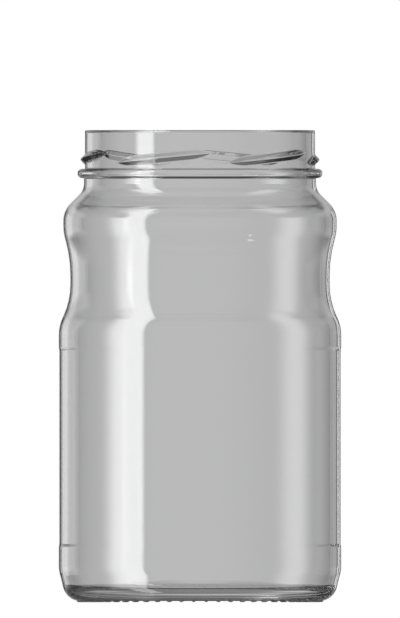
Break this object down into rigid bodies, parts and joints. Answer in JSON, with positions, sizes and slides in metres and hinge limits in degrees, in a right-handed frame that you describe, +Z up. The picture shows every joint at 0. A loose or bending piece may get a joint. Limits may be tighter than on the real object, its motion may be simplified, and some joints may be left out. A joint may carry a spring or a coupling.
{
  "type": "twist-off glass jar",
  "caption": "Empty clear glass food jar without its cap: lugged finish for a twist-off cap, waisted grip under the shoulder, recessed label panel and a ring of small bars under the base.",
  "frame": {"origin": "middle of the base, on the plane that the jar stands on", "axes": "+Z up along the jar's axis towards the mouth, -Y towards the viewer of the front, +X to that viewer's right"},
  "size_m": [0.0964, 0.0964, 0.161],
  "materials": {
    "clear_glass": "clear flint glass, smooth and glossy inside and out, with no print or label"
  },
  "bodies": {
    "root": {"jar": "clear_glass"}
  },
  "joints": []
}
